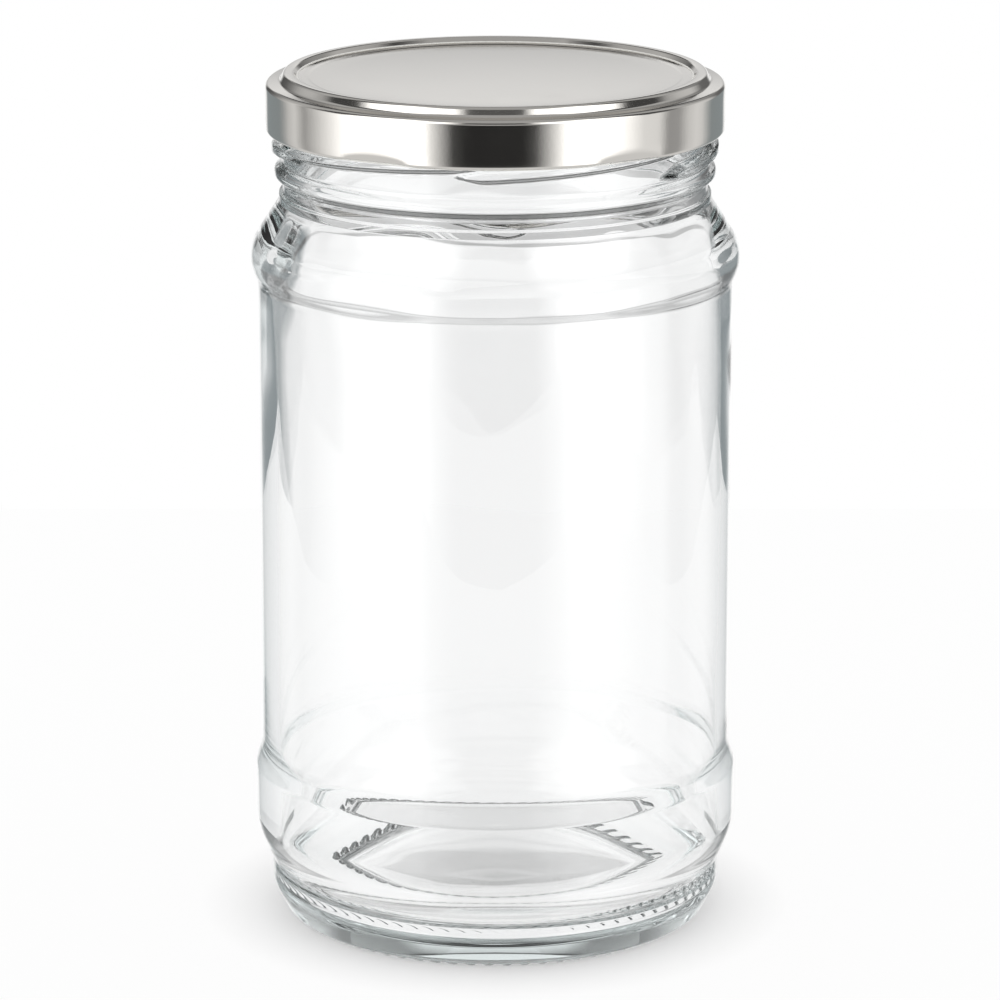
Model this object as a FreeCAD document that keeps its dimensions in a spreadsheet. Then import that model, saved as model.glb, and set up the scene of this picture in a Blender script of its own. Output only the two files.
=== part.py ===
import FreeCAD, Part

import math
import os
import re

import Sketcher

# A round glass food jar shut with a pressed tinplate twist-off lid, in millimetres. It stands on
# its bearing ring at height 0, centred on the vertical axis, with its front towards -Y.

SIZES = {
    # jar, outside, from the base up
    "body_diameter": 92.0,        # foot band and shoulder bulge, the two contact bands
    "bearing_inset": 8.0,         # from the body's radius to the ring that the jar stands on
    "bearing_width": 2.8,
    "heel_inset": 2.9,            # from the body's radius to the seam above the base mould
    "heel_taper": 0.15,
    "heel_corner_height": 6.2,
    "seam_height": 10.6,
    "heel_cone_height": 6.8,
    "band_height": 11.9,
    "band_step_height": 3.7,
    "label_recess": 1.3,          # label panel behind the contact bands
    # jar, outside, from the rim down
    "jar_height": 161.8,
    "neck_inset": 6.1,            # from the body's radius to the neck's
    "finish_height": 21.4,        # rim to the collar step under the neck
    "collar_height": 1.5,
    "collar_step": 0.7,
    "shoulder_height": 8.5,
    "bulge_height": 3.9,
    "bulge_step_height": 2.9,
    "bead_drop": 17.4,            # rim to the middle of the transfer bead
    "bead_depth": 1.5,
    "bead_root": 3.6,
    "bead_land": 1.4,
    # jar, inside
    "panel_wall": 2.4,
    "shoulder_wall": 3.7,
    "finish_wall": 3.3,
    "base_thickness": 4.0,
    "push_up": 2.6,               # hollow of the base over the bearing ring
    "push_up_slope": 1.6,
    # jar, roundings
    "floor_radius": 12.0,
    "heel_radius": 8.0,
    "bearing_radius": 0.6,
    "band_foot_radius": 13.0,
    "band_top_radius": 2.5,
    "panel_end_radius": 4.0,
    "bulge_radius": 6.0,
    "inner_shoulder_radius": 8.0,
    "collar_radius": 0.3,
    "bead_radius": 0.8,
    "rim_radius": 1.1,
    # lid
    "sheet": 0.2,                 # tinplate thickness
    "lid_height": 11.1,
    "skirt_gap": 2.9,             # between the neck and the skirt, where the threads run
    "ledge_drop": 1.7,            # outer ledge under the channel's crest
    "crest_width": 0.9,
    "channel_outer_run": 2.3,
    "channel_inner_run": 0.75,
    "centre_recess": 1.05,        # centre panel under the channel's crest
    "centre_step": 0.45,
    "centre_step_run": 2.2,
    "crease_radius": 1.2,
    "crest_radius": 0.7,
    "ledge_radius": 0.6,
    "skirt_radius": 0.9,
    "curl_radius": 0.8,
    # lugs, pressed inwards out of the curl
    "lug_count": 6,
    "lug_angle": 25.0,
    "lug_height": 2.0,
    "lug_clearance": 0.6,         # between the lug tips and the neck
    "dent_height": 1.7,
    "dent_depth": 0.9,
    # sealing compound, moulded into the lid's channel
    "compound": 1.0,              # thickness between the glass rim and the crest
    "compound_width": 2.8,
}

# Formulas that several outlines share.
BODY = "body_diameter / 2"
BEARING = f"{BODY} - bearing_inset"
HEEL = f"{BODY} - heel_inset"
PANEL = f"{BODY} - label_recess"
INNER_WALL = f"{PANEL} - panel_wall"
NECK = f"{BODY} - neck_inset"
MOUTH = f"{NECK} - finish_wall"
RIM_MIDDLE = f"{NECK} - finish_wall / 2"

BAND_FOOT = "seam_height + heel_cone_height"
BAND_TOP = f"{BAND_FOOT} + band_height"
COLLAR_TOP = "jar_height - finish_height"
SHOULDER_TOP = f"{COLLAR_TOP} - collar_height"
BULGE_TOP = f"{SHOULDER_TOP} - shoulder_height"
BULGE_FOOT = f"{BULGE_TOP} - bulge_height"
BEAD = "jar_height - bead_drop"
FLOOR = "push_up + base_thickness"
SHOULDER_RISE = "shoulder_height / (neck_inset - collar_step)"    # height per unit of radius
WALL_DROP = f"shoulder_wall * sqrt(1 + ({SHOULDER_RISE})^2)"      # the shoulder's wall, upright

SKIRT = f"{NECK} + skirt_gap + sheet"
CREST = "jar_height + compound + sheet"
LID_FOOT = f"{CREST} - lid_height"
CURL = f"{LID_FOOT} + curl_radius"
CENTRE = f"{CREST} - centre_recess"

# Outlines: closed runs of named corners, each with its radius and height.
JAR_OUTLINE = {
    "base_centre": ("0", "push_up"),
    "push_up_edge": (f"{BEARING} - bearing_width - push_up_slope", "push_up_slope"),
    "bearing_inner": (f"{BEARING} - bearing_width", "0"),
    "bearing_outer": (BEARING, "0"),
    "heel_corner": (f"{HEEL} - heel_taper", "heel_corner_height"),
    "heel_seam": (HEEL, "seam_height"),
    "band_foot": (BODY, BAND_FOOT),
    "band_top": (BODY, BAND_TOP),
    "panel_foot": (PANEL, f"{BAND_TOP} + band_step_height"),
    "panel_top": (PANEL, f"{BULGE_FOOT} - bulge_step_height"),
    "bulge_foot": (BODY, BULGE_FOOT),
    "bulge_top": (BODY, BULGE_TOP),
    "shoulder_top": (f"{NECK} + collar_step", SHOULDER_TOP),
    "collar_edge": (f"{NECK} + collar_step", COLLAR_TOP),
    "collar_root": (NECK, COLLAR_TOP),
    "bead_root_low": (NECK, f"{BEAD} - bead_root / 2"),
    "bead_low": (f"{NECK} + bead_depth", f"{BEAD} - bead_land / 2"),
    "bead_high": (f"{NECK} + bead_depth", f"{BEAD} + bead_land / 2"),
    "bead_root_high": (NECK, f"{BEAD} + bead_root / 2"),
    "rim_outer": (NECK, "jar_height"),
    "rim_inner": (MOUTH, "jar_height"),
    "mouth_foot": (MOUTH, f"{BULGE_TOP} + (neck_inset + finish_wall) * {SHOULDER_RISE} - {WALL_DROP}"),
    "inner_bulge": (INNER_WALL,
                    f"{BULGE_TOP} + (label_recess + panel_wall) * {SHOULDER_RISE} - {WALL_DROP}"),
    "floor_corner": (INNER_WALL, FLOOR),
    "floor_centre": ("0", FLOOR),
}
JAR_ROUNDINGS = {
    "bearing_radius": ["bearing_inner", "bearing_outer"],
    "heel_radius": ["heel_corner"],
    "band_foot_radius": ["band_foot"],
    "band_top_radius": ["band_top"],
    "panel_end_radius": ["panel_foot", "panel_top"],
    "bulge_radius": ["bulge_foot", "bulge_top"],
    "collar_radius": ["shoulder_top", "collar_edge", "collar_root"],
    "bead_radius": ["bead_root_low", "bead_low", "bead_high", "bead_root_high"],
    "rim_radius": ["rim_outer", "rim_inner"],
    "inner_shoulder_radius": ["mouth_foot", "inner_bulge"],
    "floor_radius": ["floor_corner"],
}

LID_OUTLINE = {
    "foot_centre": ("0", CURL),
    "skirt_foot": (SKIRT, CURL),
    "skirt_top": (SKIRT, f"{CREST} - ledge_drop"),
    "ledge": (f"{RIM_MIDDLE} + crest_width / 2 + channel_outer_run", f"{CREST} - ledge_drop"),
    "crest_outer": (f"{RIM_MIDDLE} + crest_width / 2", CREST),
    "crest_inner": (f"{RIM_MIDDLE} - crest_width / 2", CREST),
    "channel_foot": (f"{RIM_MIDDLE} - crest_width / 2 - channel_inner_run", f"{CENTRE} + centre_step"),
    "centre_edge": (f"{RIM_MIDDLE} - crest_width / 2 - channel_inner_run - centre_step_run", CENTRE),
    "centre": ("0", CENTRE),
}
LID_ROUNDINGS = {
    "skirt_radius": ["skirt_top"],
    "ledge_radius": ["ledge"],
    "crest_radius": ["crest_outer", "crest_inner"],
    "crease_radius": ["centre_edge"],
}

# The lug's section is a flat tongue with a round tip, from inside the skirt's sheet inwards.
LUG_TIP_CENTRE = (f"{NECK} + lug_clearance + lug_height / 2", f"{LID_FOOT} + lug_height / 2")
LUG_ROOT = (f"{SKIRT} - sheet / 2", f"{LID_FOOT} + lug_height")
DENT_OUTLINE = {
    "crease": (SKIRT, f"{LID_FOOT} + dent_height"),
    "inner_foot": (f"{SKIRT} - 2 * dent_depth", f"{LID_FOOT} - dent_height"),
    "outer_foot": (f"{SKIRT} + dent_depth", f"{LID_FOOT} - dent_height"),
    "outer_top": (f"{SKIRT} + dent_depth", f"{LID_FOOT} + dent_height"),
}

COMPOUND_OUTLINE = {
    "foot_inner": (f"{RIM_MIDDLE} - compound_width / 2", "jar_height"),
    "foot_outer": (f"{RIM_MIDDLE} + compound_width / 2", "jar_height"),
    "top_outer": (f"{RIM_MIDDLE} + compound_width / 2", CREST),
    "top_inner": (f"{RIM_MIDDLE} - compound_width / 2", CREST),
}
# The sheet's two edges in the curl: arcs round the curl's middle, from the skirt's foot inwards.
CURL_CENTRE = (f"{SKIRT} - curl_radius", CURL)

doc = FreeCAD.newDocument("GlassJar")


def add_sizes():
    """Put the driving sizes in the document's sheet, each in a cell with its name."""
    sheet = doc.addObject("Spreadsheet::Sheet", "Sizes")
    for row, (name, size) in enumerate(SIZES.items(), 1):
        sheet.set(f"A{row}", name)
        sheet.set(f"B{row}", str(size))
        sheet.setAlias(f"B{row}", name)
    doc.recompute()
    return sheet


def formula(text):
    """The formula with each size's name turned into a reference to its cell."""
    return re.sub(r"\b(?!sqrt\b)[a-z]\w*", r"Sizes.\g<0>", text)


def corner_place(corner):
    """Radius and height of an outline's corner, at the present sizes."""
    return [sizes.evalExpression(formula(text)) for text in corner]


def add_body(name):
    """A body whose label names its file."""
    body = doc.addObject("PartDesign::Body", name)
    body.Label = name
    body.Placement = FreeCAD.Placement()
    return body


def origin_item(body, role):
    """A plane or axis of the body's own origin."""
    return next(item for item in body.Origin.OriginFeatures if item.Role == role)


def add_sketch(body, name):
    """A sketch on the body's upright XZ plane: its X is the radius and its Y the height."""
    sketch = body.newObject("Sketcher::SketchObject", name)
    sketch.AttachmentSupport = [(origin_item(body, "XZ_Plane"), "")]
    sketch.MapMode = "FlatFace"
    return sketch


def tie_point(sketch, name, geometry, point, place, texts):
    """Hold a sketch point at a radius and a height that follow the sheet."""
    for kind, axis, value, text in zip(("DistanceX", "DistanceY"), (-2, -1), place, texts):
        if text == "0":
            sketch.addConstraint(Sketcher.Constraint("PointOnObject", geometry, point, axis))
            continue
        number = sketch.addConstraint(Sketcher.Constraint(kind, -1, 1, geometry, point, value))
        sketch.renameConstraint(number, f"{name}_{kind}")
        sketch.setExpression(f"Constraints.{name}_{kind}", formula(text))


def tie_radius(sketch, name, geometry, value, text):
    """Give an arc a radius that follows the sheet."""
    number = sketch.addConstraint(Sketcher.Constraint("Radius", geometry, value))
    sketch.renameConstraint(number, name)
    sketch.setExpression(f"Constraints.{name}", formula(text))


def draw_outline(body, name, outline):
    """A closed sketch of straight lines between the outline's corners."""
    sketch = add_sketch(body, name)
    places = [corner_place(corner) for corner in outline.values()]
    points = [FreeCAD.Vector(radius, height, 0) for radius, height in places]
    ends = points[1:] + points[:1]
    sketch.addGeometry([Part.LineSegment(start, end) for start, end in zip(points, ends)])
    for number, (corner, texts) in enumerate(outline.items()):
        before = (number - 1) % len(points)
        sketch.addConstraint(Sketcher.Constraint("Coincident", before, 2, number, 1))
        tie_point(sketch, corner, number, 1, places[number], texts)
    return sketch


def revolve(body, sketch, name, angle="360"):
    """Turn a sketch about the upright axis, evenly to both sides of its plane."""
    turned = body.newObject("PartDesign::Revolution", name)
    turned.Profile = sketch
    turned.ReferenceAxis = (sketch, ["V_Axis"])
    turned.Midplane = True
    turned.setExpression("Angle", formula(angle))
    doc.recompute()
    return turned


def corner_edges(shape, corners):
    """Names of the shape's round edges that run through the given corners."""
    names = []
    for corner in corners:
        radius, height = corner_place(corner)
        found = [f"Edge{number}" for number, edge in enumerate(shape.Edges, 1)
                 if isinstance(edge.Curve, Part.Circle)
                 and abs(edge.Curve.Radius - radius) < 1e-5
                 and abs(edge.Curve.Center.z - height) < 1e-5]
        if len(found) != 1:
            raise RuntimeError(f"{len(found)} edges at radius {radius} and height {height}")
        names += found
    return names


def round_corners(body, feature, outline, roundings):
    """Fillet the named corners of a turned outline, one fillet for each radius."""
    for size, corners in roundings.items():
        fillet = body.newObject("PartDesign::Fillet", f"{body.Name}_{size}")
        fillet.Base = (feature, corner_edges(feature.Shape, [outline[corner] for corner in corners]))
        fillet.setExpression("Radius", formula(size))
        doc.recompute()
        feature = fillet
    return feature


def make_jar():
    body = add_body("jar")
    turned = revolve(body, draw_outline(body, "JarOutline", JAR_OUTLINE), "JarForm")
    round_corners(body, turned, JAR_OUTLINE, JAR_ROUNDINGS)
    return body


def draw_curl(body):
    """Section of the curl: the sheet rolled inwards through three quarters of a turn."""
    sketch = add_sketch(body, "CurlSection")
    place = corner_place(CURL_CENTRE)
    centre = FreeCAD.Vector(*place, 0)
    outer, sheet = corner_place(("curl_radius", "sheet"))
    arcs = [Part.ArcOfCircle(Part.Circle(centre, FreeCAD.Vector(0, 0, 1), radius), math.pi / 2, 2 * math.pi)
            for radius in (outer, outer - sheet)]
    caps = [Part.LineSegment(arcs[0].StartPoint, arcs[1].StartPoint),
            Part.LineSegment(arcs[0].EndPoint, arcs[1].EndPoint)]
    sketch.addGeometry(arcs + caps)
    sketch.addConstraint([
        Sketcher.Constraint("Coincident", 0, 3, 1, 3),
        Sketcher.Constraint("Coincident", 0, 1, 2, 1),
        Sketcher.Constraint("Coincident", 1, 1, 2, 2),
        Sketcher.Constraint("Coincident", 0, 2, 3, 1),
        Sketcher.Constraint("Coincident", 1, 2, 3, 2),
        Sketcher.Constraint("Vertical", 2),
        Sketcher.Constraint("Vertical", 0, 3, 0, 1),
        Sketcher.Constraint("Horizontal", 3),
        Sketcher.Constraint("Horizontal", 0, 3, 0, 2),
    ])
    tie_point(sketch, "curl_centre", 0, 3, place, CURL_CENTRE)
    tie_radius(sketch, "curl_outside", 0, outer, "curl_radius")
    tie_radius(sketch, "curl_inside", 1, outer - sheet, "curl_radius - sheet")
    return sketch


def draw_lug(body):
    """Section of a lug: a tongue whose tip is a half circle."""
    sketch = add_sketch(body, "LugSection")
    tip = FreeCAD.Vector(*corner_place(LUG_TIP_CENTRE), 0)
    root = FreeCAD.Vector(*corner_place(LUG_ROOT), 0)
    radius = root.y - tip.y
    low, high, root_low = (FreeCAD.Vector(tip.x, tip.y - radius, 0), FreeCAD.Vector(tip.x, root.y, 0),
                           FreeCAD.Vector(root.x, tip.y - radius, 0))
    nose = Part.ArcOfCircle(Part.Circle(tip, FreeCAD.Vector(0, 0, 1), radius), math.pi / 2, 3 * math.pi / 2)
    sketch.addGeometry([nose, Part.LineSegment(low, root_low), Part.LineSegment(root_low, root),
                        Part.LineSegment(root, high)])
    sketch.addConstraint([
        Sketcher.Constraint("Tangent", 0, 2, 1, 1),
        Sketcher.Constraint("Coincident", 1, 2, 2, 1),
        Sketcher.Constraint("Coincident", 2, 2, 3, 1),
        Sketcher.Constraint("Tangent", 3, 2, 0, 1),
        Sketcher.Constraint("Horizontal", 1),
        Sketcher.Constraint("Vertical", 2),
        Sketcher.Constraint("Horizontal", 3),
    ])
    tie_point(sketch, "tip_centre", 0, 3, (tip.x, tip.y), LUG_TIP_CENTRE)
    tie_point(sketch, "root", 2, 2, (root.x, root.y), LUG_ROOT)
    return sketch


def press_sheet(body, form):
    """Hollow the lid's solid form to the thickness of the sheet, open underneath."""
    press = body.newObject("PartDesign::Thickness", "LidSheet")
    heights = [face.CenterOfMass.z for face in form.Shape.Faces]
    press.Base = (form, [f"Face{heights.index(min(heights)) + 1}"])
    press.setExpression("Value", formula("sheet"))
    press.Reversed = True
    doc.recompute()
    return press


def cut_dent(body):
    """Press a flat into the skirt's foot over a lug."""
    dent = body.newObject("PartDesign::Pocket", "Dent")
    dent.Profile = draw_outline(body, "DentOutline", DENT_OUTLINE)
    dent.Midplane = True
    dent.setExpression("Length", formula(f"2 * ({SKIRT})"))
    doc.recompute()
    return dent


def make_lid():
    """The lid, with the two shapes between which the compound lies: its form and its sheet."""
    body = add_body("lid")
    turned = revolve(body, draw_outline(body, "LidOutline", LID_OUTLINE), "LidForm")
    form = round_corners(body, turned, LID_OUTLINE, LID_ROUNDINGS)
    sheet = press_sheet(body, form)
    revolve(body, draw_curl(body), "Curl")
    lug = revolve(body, draw_lug(body), "Lug", "lug_angle")
    dent = cut_dent(body)

    ring = body.newObject("PartDesign::PolarPattern", "Lugs")
    ring.Originals = [lug, dent]
    ring.Axis = (origin_item(body, "Z_Axis"), [""])
    ring.Angle = 360
    ring.setExpression("Occurrences", formula("lug_count"))
    body.Tip = ring
    doc.recompute()
    return body, form, sheet


def make_sealing_ring(form, sheet):
    """The compound: what the lid's channel holds over the glass rim."""
    blank = add_body("compound_blank")
    revolve(blank, draw_outline(blank, "CompoundOutline", COMPOUND_OUTLINE), "CompoundForm")
    core = doc.addObject("Part::Cut", "LidCore")
    core.Base, core.Tool = form, sheet
    ring = doc.addObject("Part::Common", "sealing_ring")
    ring.Label = "sealing_ring"
    ring.Base, ring.Tool = blank, core
    doc.recompute()
    return ring


def check_document():
    """Stop if an object failed to build."""
    for item in doc.Objects:
        if {"Invalid", "Error"} & set(item.State):
            raise RuntimeError(f"{item.Name} failed: {item.State}")


def export(parts):
    """Write each sub-part to a file with the name of its label."""
    os.makedirs("parts", exist_ok=True)
    for part in parts:
        shape = part.Shape
        if shape.isNull() or not shape.isValid() or len(shape.Solids) != 1:
            raise RuntimeError(f"{part.Label} isn't one sound solid")
        print(f"{part.Label}: {shape.Volume:.1f} mm3")
        shape.exportStep(f"parts/{part.Label}.step")


sizes = add_sizes()
jar = make_jar()
lid, lid_form, lid_sheet = make_lid()
sealing_ring = make_sealing_ring(lid_form, lid_sheet)
check_document()
export([jar, lid, sealing_ring])
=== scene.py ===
import math

import bmesh
import bpy
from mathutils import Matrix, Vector, noise


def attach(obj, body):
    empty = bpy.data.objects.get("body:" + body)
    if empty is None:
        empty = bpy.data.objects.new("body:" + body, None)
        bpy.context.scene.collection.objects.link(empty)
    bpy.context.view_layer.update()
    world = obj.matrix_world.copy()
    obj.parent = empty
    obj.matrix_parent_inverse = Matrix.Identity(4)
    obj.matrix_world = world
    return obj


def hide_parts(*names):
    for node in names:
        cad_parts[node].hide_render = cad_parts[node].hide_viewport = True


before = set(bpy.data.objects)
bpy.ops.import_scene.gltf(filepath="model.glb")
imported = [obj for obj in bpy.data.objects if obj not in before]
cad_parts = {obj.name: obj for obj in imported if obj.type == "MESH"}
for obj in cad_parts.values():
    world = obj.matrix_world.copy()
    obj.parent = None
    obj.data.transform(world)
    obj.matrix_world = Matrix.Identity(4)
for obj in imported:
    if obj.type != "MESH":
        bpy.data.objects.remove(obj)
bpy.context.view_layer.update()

bl_info = {
    "name": "Glass Jar",
    "version": (1, 0, 0),
    "blender": (4, 5, 0),
    "location": "View3D > Sidebar > Glass Jar",
    "description": "A round glass food jar shut with a pressed twist-off lid",
    "category": "Add Mesh",
}

MM = 0.001
SAME_PLACE = 1e-7                 # metres under which two corners are one
SAME_RIM = 1e-6                   # the same where the inside and outside meet at the rim
ROUNDING_TURN = math.radians(12)  # turn that one row of a rounding covers at a radius of 1 mm
SMALLEST_ROUNDING = 0.5

# Outlines in millimetres, each corner with its radius, height and rounding.
JAR_OUTSIDE = [
    # base and bearing ring
    (0, 2.6, 0), (33.6, 1.6, 0.8), (35.2, 0.5, 0.5), (40.3, 0.5, 1.5),
    # heel and foot band
    (42.95, 5.6, 5.0), (43.1, 10.6, 0.6), (46.0, 17.4, 13.0), (46.0, 29.3, 3.0),
    # label panel and shoulder bulge
    (44.7, 33.0, 8.0), (44.7, 123.6, 4.0), (46.0, 126.5, 6.0), (46.0, 130.4, 6.0),
    # shoulder and collar
    (40.6, 138.9, 0.3), (40.6, 140.4, 0.3), (39.9, 140.4, 0.3),
    # neck with its transfer bead, and rim
    (39.9, 142.6, 0.8), (41.4, 143.7, 0.8), (41.4, 145.1, 0.8), (39.9, 146.2, 0.8),
    (39.9, 161.8, 1.1), (38.25, 161.8, 0),
]
JAR_INSIDE = [
    # rim, mouth and shoulder
    (38.25, 161.8, 0), (36.6, 161.8, 1.1), (36.6, 142.0, 3.0), (39.6, 137.0, 3.0),
    # wall and floor
    (42.3, 130.5, 8.0), (42.3, 3.4, 10.0), (28, 4.8, 12.0), (0, 6.4, 0),
]
LID_OUTSIDE = [
    # centre panel and the channel's inner wall
    (0, 161.95, 0), (34.65, 161.95, 0.3), (35.1, 162.02, 0.3), (37.0, 162.05, 0.5),
    # crest over the jar's rim
    (37.8, 163.0, 0.6), (39.5, 163.0, 0.8),
    # ledge and skirt
    (40.3, 161.3, 0.8), (43.0, 161.05, 0.9), (43.0, 152.7, 0),
]

# Jar: heights, radii and lengths in millimetres.
JAR_STEPS = 288
NECK_RADIUS = 39.9
NECK_ROWS = 0.27                  # rows of the threaded neck, which has twice the steps
NECK_ROWS_RADIUS = 39.0
FINE_NECK = (147.0, 160.0)
FOOT_ROWS = 0.35                  # rows of the bearing ring, which has twice the steps
FOOT_ROWS_RADIUS = 33.0
FINE_FOOT = (-1.0, 1.5)
PLAIN_ROWS = 8.0
SHOULDER_ROWS = 1.5
UNEVEN_SHOULDER = (116.0, 150.0)
INSIDE_ROWS = 7.0

# Threads: the turn in degrees at which each starts and the height in millimetres of that low end.
THREADS = [(-11.1, 150.3), (48.9, 147.6), (108.9, 150.3), (168.9, 150.3), (-131.1, 147.4), (-71.1, 150.3)]
THREADED = (146.5, 160.2)         # heights that threads may reach
THREAD_RISE_TURN = math.radians(4)
THREAD_WIDEN_TURN = math.radians(9)
THREAD_END_TURN = math.radians(5)
THREAD_TIP_WIDTH = 0.15           # share of the full width
THREAD_FLANK = 0.62               # share of the half width that slopes

# Ridges on the bearing ring, in millimetres.
RIDGES_UNDER = 1.2
RIDGES_OUTSIDE = 34.0
RIDGE_INNER_END = (36.2, 37.2)
RIDGE_OUTER_END = (38.9, 39.7)
RIDGE_MIDDLE = 36.5
RIDGE_BOW = 0.005                 # radians that a ridge turns, a square millimetre off its middle
RIDGE_CREST = (-0.3, 0.7)         # where between trough and crest the ridge rises

# Unevenness of the glass: length of its waves across, across and up, in millimetres.
LABEL_BAND = (36.0, 122.0)
LABEL_DEPTH = 0.02
LABEL_LENGTHS = (30.0, 30.0, 50.0)
INSIDE_LENGTHS = (15.0, 15.0, 12.0)
OFFSET_FADE = (125.0, 152.0)
SHOULDER_RISE = (116.0, 130.0)
SHOULDER_FADE = (140.0, 150.0)
SHOULDER_WAVES = 8                # times the wall's waves
FLOOR_WAVES = 2
FLOOR_RADIUS = 30.0

# Lid: in millimetres, with the turn of each lug's middle in degrees.
LID_STEPS = 360
CENTRE_PANEL_RADIUS = 34.4
CURL_CENTRE = (42.2, 152.7)
CURL_STEPS = 18
CURL_TURN = -1.5 * math.pi
LUG_ANGLES = (-31, 35, 92, 149, 208, 269)
LUG_REACH = math.radians(20)
DENTS_OUTSIDE = 40.0
SKIRT_ROWS = 0.2
SKIRT_ROWS_RADIUS = 42.5
SKIRT_ROWS_TOP = 156.0
RIM_ROWS = 1.5
RIM_ROWS_RADIUS = 34.0
CENTRE_ROWS = 6.0

# Brightness of the studio at angles in degrees from the front, towards the right, at and over table height,
# and of the backdrop at angles over the horizon.
LOW_STUDIO = [
    (-180, 0.1), (-160, 0.08), (-150, 0.12), (-143, 0.22), (-130, 0.5), (-119, 0.72), (-110, 0.36), (-101, 0.62),
    (-90, 1.0), (-77, 1.6), (-59, 1.8), (-37, 1.8), (-32, 0.95), (-27, 0.5), (-21, 0.06), (-14, 0.025),
    (14, 0.025), (20, 0.08), (26, 0.5), (31, 0.95), (38, 1.8), (52, 1.8), (61, 1.6), (79, 0.84), (89, 0.82),
    (96, 0.34), (104, 0.36), (112, 0.65), (120, 0.76), (134, 0.6), (145, 0.15), (180, 0.1),
]
HIGH_STUDIO = [
    (-180, 0.3), (-147, 0.3), (-138, 0.5), (-112, 0.4), (-105, 0.06), (-88, 0.06), (-78, 1.8), (-28, 1.8),
    (-18, 0.1), (18, 0.1), (28, 1.8), (74, 1.8), (84, 0.06), (104, 0.06), (112, 0.4), (132, 0.5), (140, 0.3),
    (180, 0.3),
]
BACKDROP = [
    (-90, 1.0), (-2, 1.0), (3, 0.52), (10, 0.72), (16, 0.86), (21, 0.02), (32, 0.03), (44, 0.38), (90, 0.45),
]

# Parts of the studio, each from where it starts to where it is full: turns in radians from the front,
# either way, and heights and sides as shares of a ray's direction. The flanks are dim sides at the back,
# the window is a grey light low in front that the lid shows from behind, overhead is a strip over the jar,
# below is under the table's edge, and through is where glass shows plain white from behind.
WHITE = (1, 1, 1, 1)
FLANK_TURN, FLANK_HEIGHT, FLANK_COLOUR = (2.2, 2.4), (-0.02, -0.1), (0.26, 0.29, 0.3, 1)
WINDOW_TURN, WINDOW_HEIGHT, WINDOW_COLOUR = (0.5, 0.35), (0.06, 0.12), (0.6, 0.6, 0.6, 1)
HIGH_HEIGHT = (0.2, 0.42)
BACKDROP_TURN = (2.79, 2.9)
OVERHEAD_SIDE, OVERHEAD_HEIGHT, OVERHEAD_COLOUR = (0.5, 0.35), (0.76, 0.84), (0.4, 0.4, 0.4, 1)
BELOW_HEIGHT, BELOW_COLOUR = (-0.3, -0.55), (0.7, 0.7, 0.7, 1)
THROUGH_TURN = (1.9, 1.6)

# Floor: how much of it is plain white, seen directly and through glass, and the distances in metres
# from the axis between which the jar's shadow ends.
FLOOR_THROUGH_GLASS = 0.92
FLOOR_UNDER_JAR = 0.35
FLOOR_BEYOND_SHADOW = 0.6
SHADOW_REACH = (0.042, 0.057)

CAMERA_LENS = 185.8
CAMERA_SENSOR = 36.0
CAMERA_SHIFT = 0.0048
CAMERA_PLACE = (0, -0.953, 0.3272)
CAMERA_TILT = 75.46


class JarSettings(bpy.types.PropertyGroup):
    """Sizes and colours of the glass jar"""
    thread_length: bpy.props.FloatProperty(name="Thread length", description="Turn that one thread covers",
                                           default=math.radians(70), subtype="ANGLE")
    thread_rise: bpy.props.FloatProperty(name="Thread rise", description="Climb from one end of a thread to the other",
                                         default=2.5 * MM, unit="LENGTH")
    thread_width: bpy.props.FloatProperty(name="Thread width", description="Width of a thread up the neck",
                                          default=3.3 * MM, unit="LENGTH")
    thread_depth: bpy.props.FloatProperty(name="Thread depth", description="How far a thread stands off the neck",
                                          default=2.0 * MM, unit="LENGTH")
    ridge_count: bpy.props.IntProperty(name="Ridges", description="Crescent ridges on the bearing ring",
                                       default=72, min=3)
    ridge_depth: bpy.props.FloatProperty(name="Ridge depth", description="How far a ridge stands off its ring",
                                         default=0.5 * MM, unit="LENGTH")
    wall_offset: bpy.props.FloatProperty(name="Wall offset", description="How far the inside is off centre",
                                         default=0.45 * MM, unit="LENGTH")
    wall_waves: bpy.props.FloatProperty(name="Wall waves", description="Unevenness of the inside",
                                        default=0.12 * MM, unit="LENGTH")
    tint: bpy.props.FloatVectorProperty(name="Tint", description="Colour of thick glass",
                                        default=(0.55, 0.68, 0.68), subtype="COLOR")
    tint_density: bpy.props.FloatProperty(name="Tint density", description="How fast thick glass takes its tint",
                                          default=7.0, min=0)


class LidSettings(bpy.types.PropertyGroup):
    """Sizes and colours of the lid and its compound"""
    sheet: bpy.props.FloatProperty(name="Sheet", description="Thickness of the tinplate",
                                   default=0.2 * MM, unit="LENGTH")
    curl_radius: bpy.props.FloatProperty(name="Curl radius", description="Outer radius of the rolled edge",
                                         default=0.8 * MM, unit="LENGTH")
    dent_height: bpy.props.FloatProperty(name="Dent height", description="Height of a dent over the lid's foot",
                                         default=1.7 * MM, unit="LENGTH")
    dent_depth: bpy.props.FloatProperty(name="Dent depth", description="Depth of a dent at the lid's foot",
                                        default=0.9 * MM, unit="LENGTH")
    dome: bpy.props.FloatProperty(name="Dome", description="Rise of the centre panel's middle",
                                  default=0.7 * MM, unit="LENGTH")
    metal: bpy.props.FloatVectorProperty(name="Metal", description="Colour of the tinplate",
                                         default=(0.80, 0.775, 0.735), subtype="COLOR")
    lacquer: bpy.props.FloatVectorProperty(name="Lacquer", description="Colour of the lid's lacquered inside",
                                           default=(0.33, 0.33, 0.33), subtype="COLOR")
    compound: bpy.props.FloatVectorProperty(name="Compound", description="Colour of the sealing compound",
                                            default=(0.78, 0.77, 0.74), subtype="COLOR")


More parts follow.
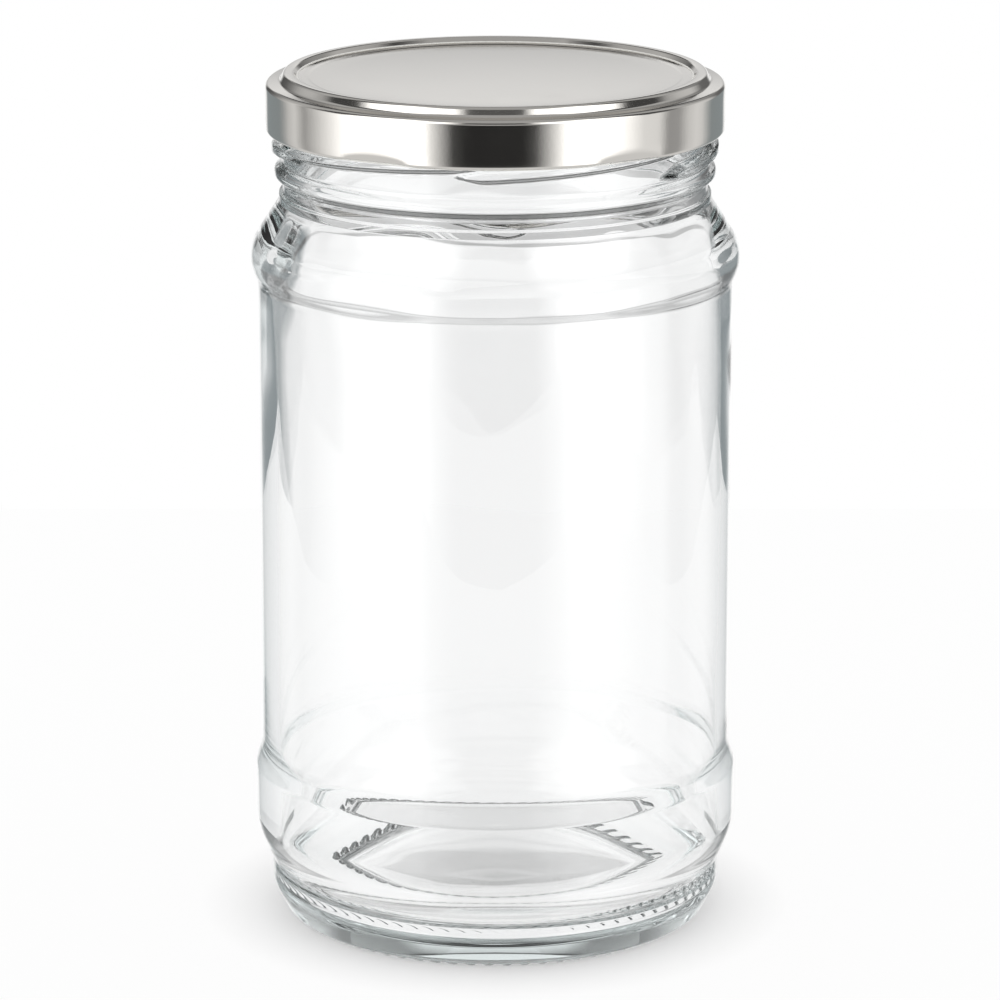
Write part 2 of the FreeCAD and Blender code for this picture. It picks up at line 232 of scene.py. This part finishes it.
class StageSettings(bpy.types.PropertyGroup):
    """The studio round the jar"""
    floor: bpy.props.FloatVectorProperty(name="Floor", description="Colour of the floor", default=(0.99, 0.99, 0.99),
                                         subtype="COLOR")
    bounces: bpy.props.IntProperty(name="Bounces", description="Turns a light path may take, many of them inside glass",
                                   default=24, min=1)
    table_half: bpy.props.FloatProperty(name="Table", description="Half the width of the white table top",
                                        default=0.3, unit="LENGTH")


def smooth(low, high, value):
    """0 below low, 1 above high, with a soft ramp between."""
    share = min(max((value - low) / (high - low), 0.0), 1.0)
    return share * share * (3 - 2 * share)


def azimuth(point):
    """Angle of a point round the axis from the front, towards the right."""
    return math.atan2(point.x, -point.y)


def wrap(angle):
    """The angle brought between minus and plus half a turn."""
    return (angle + math.pi) % (2 * math.pi) - math.pi


def move_radially(vert, distance):
    """Push a vertex straight away from the axis."""
    radius = math.hypot(vert.co.x, vert.co.y)
    if radius > 1e-9:
        vert.co.x *= (radius + distance) / radius
        vert.co.y *= (radius + distance) / radius


def scaled(pair):
    """A pair of lengths in millimetres, in metres."""
    return pair[0] * MM, pair[1] * MM


def waves_at(place, lengths):
    """Gentle unevenness at a place, about -1 to 1, with waves of these lengths in millimetres."""
    return noise.noise(Vector([value / (length * MM) for value, length in zip(place, lengths)]))


def draw_section(bm, corners, row_length):
    """A wire through the outline's corners with its roundings, its straight runs cut into rows."""
    places = [Vector((radius * MM, 0, height * MM)) for radius, height, _ in corners]
    verts = [bm.verts.new(place) for place in places]
    for start, end in zip(verts, verts[1:]):
        bm.edges.new((start, end))
    for vert, (_, _, rounding), before, place, after in zip(
            verts[1:-1], corners[1:-1], places, places[1:], places[2:]):
        turn = (place - before).angle(after - place)
        if rounding:
            segments = max(2, round(turn * max(rounding, SMALLEST_ROUNDING) ** 0.5 / ROUNDING_TURN))
            bmesh.ops.bevel(bm, geom=[vert], offset=rounding * MM * math.tan(turn / 2), offset_type="OFFSET",
                            affect="VERTICES", segments=segments, profile=0.5, material=-1)
    for edge in list(bm.edges):
        cuts = math.ceil(edge.calc_length() / row_length((edge.verts[0].co + edge.verts[1].co) / 2)) - 1
        if cuts > 0:
            bmesh.ops.subdivide_edges(bm, edges=[edge], cuts=cuts)


def turn_section(bm, steps):
    """Spin the wire about the upright axis into a surface, closed at the poles."""
    bmesh.ops.spin(bm, geom=bm.verts[:] + bm.edges[:], cent=(0, 0, 0), axis=(0, 0, 1),
                   angle=2 * math.pi, steps=steps, use_merge=True)
    bmesh.ops.remove_doubles(bm, verts=bm.verts, dist=SAME_PLACE)
    bmesh.ops.recalc_face_normals(bm, faces=bm.faces)


def refine_rings(bm, low, high):
    """Halve the steps of the rings between two heights."""
    rings = [edge for edge in bm.edges
             if all(low < vert.co.z < high for vert in edge.verts)
             and abs(edge.verts[0].co.z - edge.verts[1].co.z) < SAME_PLACE
             and abs(edge.verts[0].co.xy.length - edge.verts[1].co.xy.length) < SAME_PLACE]
    bmesh.ops.subdivide_edges(bm, edges=rings, cuts=1, use_grid_fill=True)


def add_piece(name, bm, material):
    """An object at the origin from a finished mesh, which moves with the jar."""
    for face in bm.faces:
        face.smooth = True
    mesh = bpy.data.meshes.new(name)
    bm.to_mesh(mesh)
    bm.free()
    mesh.materials.append(material)
    piece = bpy.data.objects.new(name, mesh)
    bpy.context.scene.collection.objects.link(piece)
    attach(piece, "root")
    return piece


def join(tree, source, socket):
    """Feed a socket from another node's output, or set it to a plain value."""
    if isinstance(source, bpy.types.NodeSocket):
        tree.links.new(source, socket)
    else:
        socket.default_value = source


def add_node(tree, kind, inputs=None, **settings):
    """A shader node with its settings, its input values and the outputs that feed it."""
    node = tree.nodes.new(kind)
    for name, value in settings.items():
        setattr(node, name, value)
    for name, source in (inputs or {}).items():
        join(tree, source, node.inputs[name])
    return node


def add_math(tree, operation, *sources):
    """The result of a sum on sockets and numbers."""
    return add_node(tree, "ShaderNodeMath", dict(enumerate(sources)), operation=operation).outputs["Value"]


def add_share(tree, source, low, high):
    """A value's share of the way from low to high."""
    return add_node(tree, "ShaderNodeMapRange", {
        "Value": source, "From Min": low, "From Max": high}).outputs["Result"]


def add_mix(tree, share, first, second):
    """A blend of two colours."""
    return add_node(tree, "ShaderNodeMix", {0: share, 6: first, 7: second}, data_type="RGBA").outputs[2]


def add_noise(tree, place, scale, detail, roughness=0.5):
    """Cloudy noise over a place."""
    return add_node(tree, "ShaderNodeTexNoise", {
        "Vector": place, "Scale": scale, "Detail": detail, "Roughness": roughness}).outputs["Fac"]


def add_bump(tree, height, strength):
    """A normal bent by a fine relief."""
    return add_node(tree, "ShaderNodeBump", {
        "Height": height, "Strength": strength, "Distance": 0.05 * MM}).outputs["Normal"]


def add_ramp(tree, share, stops, reach):
    """Grey levels at angles from minus to plus reach, in degrees."""
    node = add_node(tree, "ShaderNodeValToRGB", {"Fac": share})
    elements = node.color_ramp.elements
    for number, (angle, level) in enumerate(stops):
        element = elements[number] if number < 2 else elements.new(1.0)
        element.position = (angle + reach) / (2 * reach)
        element.color = (level, level, level, 1)
    return node.outputs["Color"]


def new_material(name):
    """A material with an empty tree."""
    material = bpy.data.materials.new(name)
    material.use_nodes = True
    material.node_tree.nodes.clear()
    return material, material.node_tree


def glass_material(jar):
    """Clear flint glass with a faint tint where it is thick."""
    material, tree = new_material("clear_flint_glass")
    shader = add_node(tree, "ShaderNodeBsdfPrincipled", {
        "Base Color": WHITE, "Roughness": 0.0, "IOR": 1.52, "Transmission Weight": 1.0})
    tint = add_node(tree, "ShaderNodeVolumeAbsorption", {
        "Color": (*jar.tint, 1), "Density": jar.tint_density})
    add_node(tree, "ShaderNodeOutputMaterial", {
        "Surface": shader.outputs["BSDF"], "Volume": tint.outputs["Volume"]})
    return material


def tinplate_material(lid):
    """Bright lacquered tinplate with a fine rolled grain and light scuffs."""
    material, tree = new_material("bright_tinplate")
    place = add_node(tree, "ShaderNodeTexCoord").outputs["Object"]
    rolled = add_node(tree, "ShaderNodeMapping", {"Vector": place, "Scale": (60, 1400, 300)}).outputs["Vector"]
    grain = add_noise(tree, rolled, 1.0, 4.0, 0.6)
    cloud = add_noise(tree, place, 90.0, 5.0, 0.65)
    dust = add_noise(tree, place, 1800.0, 2.0)
    roughness = add_node(tree, "ShaderNodeMapRange", {
        "Value": cloud, "From Min": 0.3, "From Max": 0.7, "To Min": 0.06, "To Max": 0.12}).outputs["Result"]
    relief = add_math(tree, "MULTIPLY_ADD", dust, 0.35, grain)
    shader = add_node(tree, "ShaderNodeBsdfPrincipled", {
        "Base Color": (*lid.metal, 1), "Metallic": 1.0, "Roughness": roughness,
        "Normal": add_bump(tree, relief, 0.12)})
    add_node(tree, "ShaderNodeOutputMaterial", {"Surface": shader.outputs["BSDF"]})
    return material


def mottled_material(name, colour, dark, scale, detail, roughness, bump):
    """A coating of one colour, mottled down to a darker share of it."""
    material, tree = new_material(name)
    place = add_node(tree, "ShaderNodeTexCoord").outputs["Object"]
    mottle = add_noise(tree, place, scale, detail)
    shader = add_node(tree, "ShaderNodeBsdfPrincipled", {
        "Base Color": add_mix(tree, mottle, (*[channel * dark for channel in colour], 1), (*colour, 1)),
        "Roughness": roughness, "IOR": 1.5, "Normal": add_bump(tree, mottle, bump)})
    add_node(tree, "ShaderNodeOutputMaterial", {"Surface": shader.outputs["BSDF"]})
    return material


def lacquer_material(lid):
    """Satin grey lacquer on the lid's inside."""
    return mottled_material("inside_lacquer", lid.lacquer, dark=0.85, scale=240.0, detail=4.0,
                            roughness=0.4, bump=0.2)


def compound_material(lid):
    """Matt flowed-in sealing compound."""
    return mottled_material("sealing_compound", lid.compound, dark=0.9, scale=700.0, detail=3.0,
                            roughness=0.65, bump=0.3)


def thread_depth_at(jar, angle, height):
    """How far the nearest threads stand off the neck at a place."""
    depth = 0.0
    for start, low_end in THREADS:
        along = (angle - math.radians(start)) % (2 * math.pi)
        if along > jar.thread_length:
            continue
        tip = smooth(0, THREAD_WIDEN_TURN, along) * (1 - THREAD_TIP_WIDTH) + THREAD_TIP_WIDTH
        end = math.sqrt(max(0.0, 1 - smooth(jar.thread_length - THREAD_END_TURN, jar.thread_length, along)))
        middle = low_end * MM + jar.thread_rise * along / jar.thread_length
        across = abs(height - middle) / (jar.thread_width / 2 * tip * end + 1e-9)
        if across < 1:
            full = jar.thread_depth * smooth(0, THREAD_RISE_TURN, along)
            depth = max(depth, full * smooth(0, THREAD_FLANK, 1 - across))
    return depth


class JAR_OT_glass(bpy.types.Operator):
    """Blow the jar's glass: outside with threads and ridges, and the uneven inside"""
    bl_idname = "jar.glass"
    bl_label = "Glass jar"

    def execute(self, context):
        jar = context.scene.jar_settings
        bm = bmesh.new()
        draw_section(bm, JAR_OUTSIDE, self.outside_row)
        turn_section(bm, JAR_STEPS)
        refine_rings(bm, *scaled(FINE_FOOT))
        refine_rings(bm, *scaled(FINE_NECK))
        for vert in bm.verts:
            self.shape_outside(jar, vert)
        outside = bpy.data.meshes.new("outside")
        bm.to_mesh(outside)
        bm.free()

        bm = bmesh.new()
        draw_section(bm, JAR_INSIDE, self.inside_row)
        turn_section(bm, JAR_STEPS)
        for vert in bm.verts:
            self.shape_inside(jar, vert)
        bm.from_mesh(outside)
        bpy.data.meshes.remove(outside)
        bmesh.ops.remove_doubles(bm, verts=bm.verts, dist=SAME_RIM)
        bmesh.ops.recalc_face_normals(bm, faces=bm.faces)
        piece = add_piece("jar_glass", bm, glass_material(jar))
        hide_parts("jar")
        return {"FINISHED"}

    @staticmethod
    def outside_row(place):
        """Length of the rows at a place on the outside."""
        radius, height = place.x / MM, place.z / MM
        if height > FINE_NECK[0] and radius > NECK_ROWS_RADIUS:
            return NECK_ROWS * MM
        if height < FINE_FOOT[1] and radius > FOOT_ROWS_RADIUS:
            return FOOT_ROWS * MM
        return PLAIN_ROWS * MM

    @staticmethod
    def inside_row(place):
        """Length of the rows at a place on the inside."""
        low, high = scaled(UNEVEN_SHOULDER)
        return (SHOULDER_ROWS if low < place.z < high else INSIDE_ROWS) * MM

    @staticmethod
    def shape_outside(jar, vert):
        """Raise the threads, cut the ridges and make the label panel slightly uneven."""
        angle = azimuth(vert.co)
        radius, height = vert.co.xy.length / MM, vert.co.z / MM
        if radius > NECK_RADIUS - 0.01 and THREADED[0] < height < THREADED[1]:
            move_radially(vert, thread_depth_at(jar, angle, vert.co.z))
        elif height < RIDGES_UNDER and radius > RIDGES_OUTSIDE:
            wave = math.cos(jar.ridge_count * (angle + RIDGE_BOW * (radius - RIDGE_MIDDLE) ** 2))
            share = smooth(*RIDGE_INNER_END, radius) * (1 - smooth(*RIDGE_OUTER_END, radius))
            vert.co.z -= jar.ridge_depth * share * smooth(*RIDGE_CREST, wave)
        elif LABEL_BAND[0] < height < LABEL_BAND[1]:
            move_radially(vert, LABEL_DEPTH * MM * waves_at(vert.co, LABEL_LENGTHS))

    @staticmethod
    def shape_inside(jar, vert):
        """Set the inside off centre and make it uneven below the mouth."""
        radius, height = vert.co.xy.length / MM, vert.co.z / MM
        below_mouth = 1 - smooth(*OFFSET_FADE, height)
        shoulder = smooth(*SHOULDER_RISE, height) * (1 - smooth(*SHOULDER_FADE, height))
        waves = jar.wall_waves * waves_at(vert.co, INSIDE_LENGTHS)
        if radius > FLOOR_RADIUS:
            move_radially(vert, waves * (below_mouth + SHOULDER_WAVES * shoulder))
        else:
            vert.co.z += waves * FLOOR_WAVES
        vert.co.x += jar.wall_offset * below_mouth


class JAR_OT_lid(bpy.types.Operator):
    """Press the lid: centre panel, channel, skirt and curl, with a dent at each lug"""
    bl_idname = "jar.lid"
    bl_label = "Twist-off lid"

    def execute(self, context):
        lid = context.scene.lid_settings
        bm = bmesh.new()
        draw_section(bm, LID_OUTSIDE, self.row)
        last = min(bm.verts, key=lambda vert: vert.co.z)
        centre = Vector((CURL_CENTRE[0], 0, CURL_CENTRE[1])) * MM
        for step in range(1, CURL_STEPS + 1):
            turn = CURL_TURN * step / CURL_STEPS
            new = bm.verts.new(centre + lid.curl_radius * Vector((math.cos(turn), 0, math.sin(turn))))
            bm.edges.new((last, new))
            last = new
        turn_section(bm, LID_STEPS)
        for vert in bm.verts:
            self.press_dents(lid, vert)
        top = max(bm.faces, key=lambda face: face.calc_center_median().z)
        if top.normal.z < 0:
            bmesh.ops.reverse_faces(bm, faces=bm.faces)
        outer = set(bm.faces)
        bmesh.ops.solidify(bm, geom=bm.faces, thickness=lid.sheet)
        for face in bm.faces:
            face.material_index = 0 if face in outer else 1
        piece = add_piece("twist_lid", bm, tinplate_material(lid))
        piece.data.materials.append(lacquer_material(lid))
        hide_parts("lid")
        return {"FINISHED"}

    @staticmethod
    def row(place):
        """Length of the rows at a place on the lid."""
        radius, height = place.x / MM, place.z / MM
        if radius > SKIRT_ROWS_RADIUS and height < SKIRT_ROWS_TOP:
            return SKIRT_ROWS * MM
        return (RIM_ROWS if radius > RIM_ROWS_RADIUS else CENTRE_ROWS) * MM

    @staticmethod
    def press_dents(lid, vert):
        """Dome the centre panel, and press a flat inwards over each lug at the skirt's foot."""
        crease = CURL_CENTRE[1] * MM - lid.curl_radius + lid.dent_height
        skirt = CURL_CENTRE[0] * MM + lid.curl_radius
        radius = vert.co.xy.length
        if radius < CENTRE_PANEL_RADIUS * MM:
            vert.co.z += lid.dome * (1 - (radius / (CENTRE_PANEL_RADIUS * MM)) ** 2)
        if vert.co.z > crease + MM or radius < DENTS_OUTSIDE * MM:
            return
        depth = lid.dent_depth * (crease - vert.co.z) / lid.dent_height
        for angle in LUG_ANGLES:
            offset = wrap(azimuth(vert.co) - math.radians(angle))
            if abs(offset) < LUG_REACH:
                flat = (skirt - depth) / math.cos(offset)
                move_radially(vert, -max(skirt - flat, 0.0))


class JAR_OT_compound(bpy.types.Operator):
    """Give the sealing compound its finish"""
    bl_idname = "jar.compound"
    bl_label = "Sealing compound"

    def execute(self, context):
        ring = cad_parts["sealing_ring"]
        ring.data.materials.clear()
        ring.data.materials.append(compound_material(context.scene.lid_settings))
        return {"FINISHED"}


class JAR_OT_stage(bpy.types.Operator):
    """Set up the floor, the studio round the jar and the camera"""
    bl_idname = "jar.stage"
    bl_label = "Stage"

    def execute(self, context):
        scene = context.scene
        stage = scene.stage_settings
        scene.view_settings.view_transform = "Standard"
        for kind in ("max_bounces", "glossy_bounces", "transmission_bounces"):
            setattr(scene.cycles, kind, stage.bounces)
        self.add_floor(stage)
        self.add_world(scene)
        self.add_camera(scene)
        return {"FINISHED"}

    @staticmethod
    def add_floor(stage):
        """A white table top under the jar, which keeps the jar's shadow."""
        bm = bmesh.new()
        bmesh.ops.create_grid(bm, x_segments=1, y_segments=1, size=stage.table_half)
        mesh = bpy.data.meshes.new("floor")
        bm.to_mesh(mesh)
        bm.free()
        floor = bpy.data.objects.new("floor", mesh)
        bpy.context.scene.collection.objects.link(floor)
        material, tree = new_material("white_floor")
        place = add_node(tree, "ShaderNodeTexCoord").outputs["Object"]
        reach = add_node(tree, "ShaderNodeVectorMath", {0: place}, operation="LENGTH").outputs["Value"]
        path = add_node(tree, "ShaderNodeLightPath").outputs
        shaded = add_node(tree, "ShaderNodeBsdfDiffuse", {"Color": (*stage.floor, 1)}).outputs["BSDF"]
        plain = add_node(tree, "ShaderNodeEmission", {"Color": (*stage.floor, 1)}).outputs["Emission"]
        clear = add_math(tree, "MULTIPLY_ADD", add_share(tree, reach, *SHADOW_REACH),
                         FLOOR_BEYOND_SHADOW, FLOOR_UNDER_JAR)
        direct = add_math(tree, "MULTIPLY", path["Is Camera Ray"], clear)
        share = add_math(tree, "MULTIPLY_ADD", path["Is Transmission Ray"], FLOOR_THROUGH_GLASS, direct)
        mix = add_node(tree, "ShaderNodeMixShader", {0: share, 1: shaded, 2: plain}).outputs["Shader"]
        add_node(tree, "ShaderNodeOutputMaterial", {"Surface": mix})
        mesh.materials.append(material)
        floor.visible_glossy = False

    @staticmethod
    def add_world(scene):
        """White light all round. In gloss and through glass the studio has its softboxes and gaps,
        but what is seen straight through the glass from behind stays white."""
        world = bpy.data.worlds.new("studio")
        scene.world = world
        world.use_nodes = True
        world.cycles.sampling_method = "NONE"
        tree = world.node_tree
        tree.nodes.clear()
        ray = add_node(tree, "ShaderNodeTexCoord").outputs["Generated"]
        across, along, up = add_node(tree, "ShaderNodeSeparateXYZ", {"Vector": ray}).outputs
        turn = add_math(tree, "ARCTAN2", across, add_math(tree, "MULTIPLY", along, -1.0))
        aside = add_math(tree, "ABSOLUTE", turn)
        round_about = add_share(tree, turn, -math.pi, math.pi)

        flank = add_math(tree, "MULTIPLY", add_share(tree, aside, *FLANK_TURN), add_share(tree, up, *FLANK_HEIGHT))
        window = add_math(tree, "MULTIPLY", add_share(tree, aside, *WINDOW_TURN), add_share(tree, up, *WINDOW_HEIGHT))
        low = add_ramp(tree, round_about, LOW_STUDIO, 180)
        low = add_mix(tree, flank, low, FLANK_COLOUR)
        low = add_mix(tree, window, low, WINDOW_COLOUR)
        high = add_ramp(tree, round_about, HIGH_STUDIO, 180)
        sides = add_mix(tree, add_share(tree, up, *HIGH_HEIGHT), low, high)

        climb = add_share(tree, add_math(tree, "ARCSINE", up), -math.pi / 2, math.pi / 2)
        backdrop = add_ramp(tree, climb, BACKDROP, 90)
        room = add_mix(tree, add_share(tree, aside, *BACKDROP_TURN), sides, backdrop)
        overhead = add_math(tree, "MULTIPLY", add_share(tree, up, *OVERHEAD_HEIGHT),
                            add_share(tree, add_math(tree, "ABSOLUTE", across), *OVERHEAD_SIDE))
        room = add_mix(tree, overhead, room, OVERHEAD_COLOUR)
        room = add_mix(tree, add_share(tree, up, *BELOW_HEIGHT), room, BELOW_COLOUR)

        path = add_node(tree, "ShaderNodeLightPath").outputs
        seen = add_math(tree, "MAXIMUM", path["Is Glossy Ray"], path["Is Transmission Ray"])
        unreflected = add_share(tree, path["Glossy Depth"], 1.0, 0.0)
        through = add_math(tree, "MULTIPLY", path["Is Transmission Ray"], unreflected)
        through = add_math(tree, "MULTIPLY", through, add_share(tree, aside, *THROUGH_TURN))
        colour = add_mix(tree, through, add_mix(tree, seen, WHITE, room), WHITE)
        light = add_node(tree, "ShaderNodeBackground", {"Color": colour, "Strength": 1.0}).outputs["Background"]
        add_node(tree, "ShaderNodeOutputWorld", {"Surface": light})

    @staticmethod
    def add_camera(scene):
        """A long lens a little above the lid, looking down at the front."""
        data = bpy.data.cameras.new("camera")
        data.lens = CAMERA_LENS
        data.sensor_width = CAMERA_SENSOR
        data.shift_x = CAMERA_SHIFT
        camera = bpy.data.objects.new("camera", data)
        camera.location = CAMERA_PLACE
        camera.rotation_euler = (math.radians(CAMERA_TILT), 0, 0)
        scene.collection.objects.link(camera)
        scene.camera = camera


class JAR_PT_panel(bpy.types.Panel):
    """Sizes, colours and steps of the glass jar"""
    bl_label = "Glass Jar"
    bl_idname = "JAR_PT_panel"
    bl_space_type = "VIEW_3D"
    bl_region_type = "UI"
    bl_category = "Glass Jar"

    def draw(self, context):
        for group in SETTINGS:
            settings = getattr(context.scene, group)
            box = self.layout.box()
            for name in settings.__annotations__:
                box.prop(settings, name)
        for operator in OPERATORS:
            self.layout.operator(operator.bl_idname)


SETTINGS = {"jar_settings": JarSettings, "lid_settings": LidSettings, "stage_settings": StageSettings}
OPERATORS = (JAR_OT_glass, JAR_OT_lid, JAR_OT_compound, JAR_OT_stage)


def register():
    for name, group in SETTINGS.items():
        bpy.utils.register_class(group)
        setattr(bpy.types.Scene, name, bpy.props.PointerProperty(type=group))
    for cls in OPERATORS + (JAR_PT_panel,):
        bpy.utils.register_class(cls)


def unregister():
    for cls in reversed(OPERATORS + (JAR_PT_panel,)):
        bpy.utils.unregister_class(cls)
    for name, group in SETTINGS.items():
        delattr(bpy.types.Scene, name)
        bpy.utils.unregister_class(group)


def main():
    register()
    bpy.ops.jar.glass()
    bpy.ops.jar.lid()
    bpy.ops.jar.compound()
    bpy.ops.jar.stage()


if __name__ == "__main__":
    main()
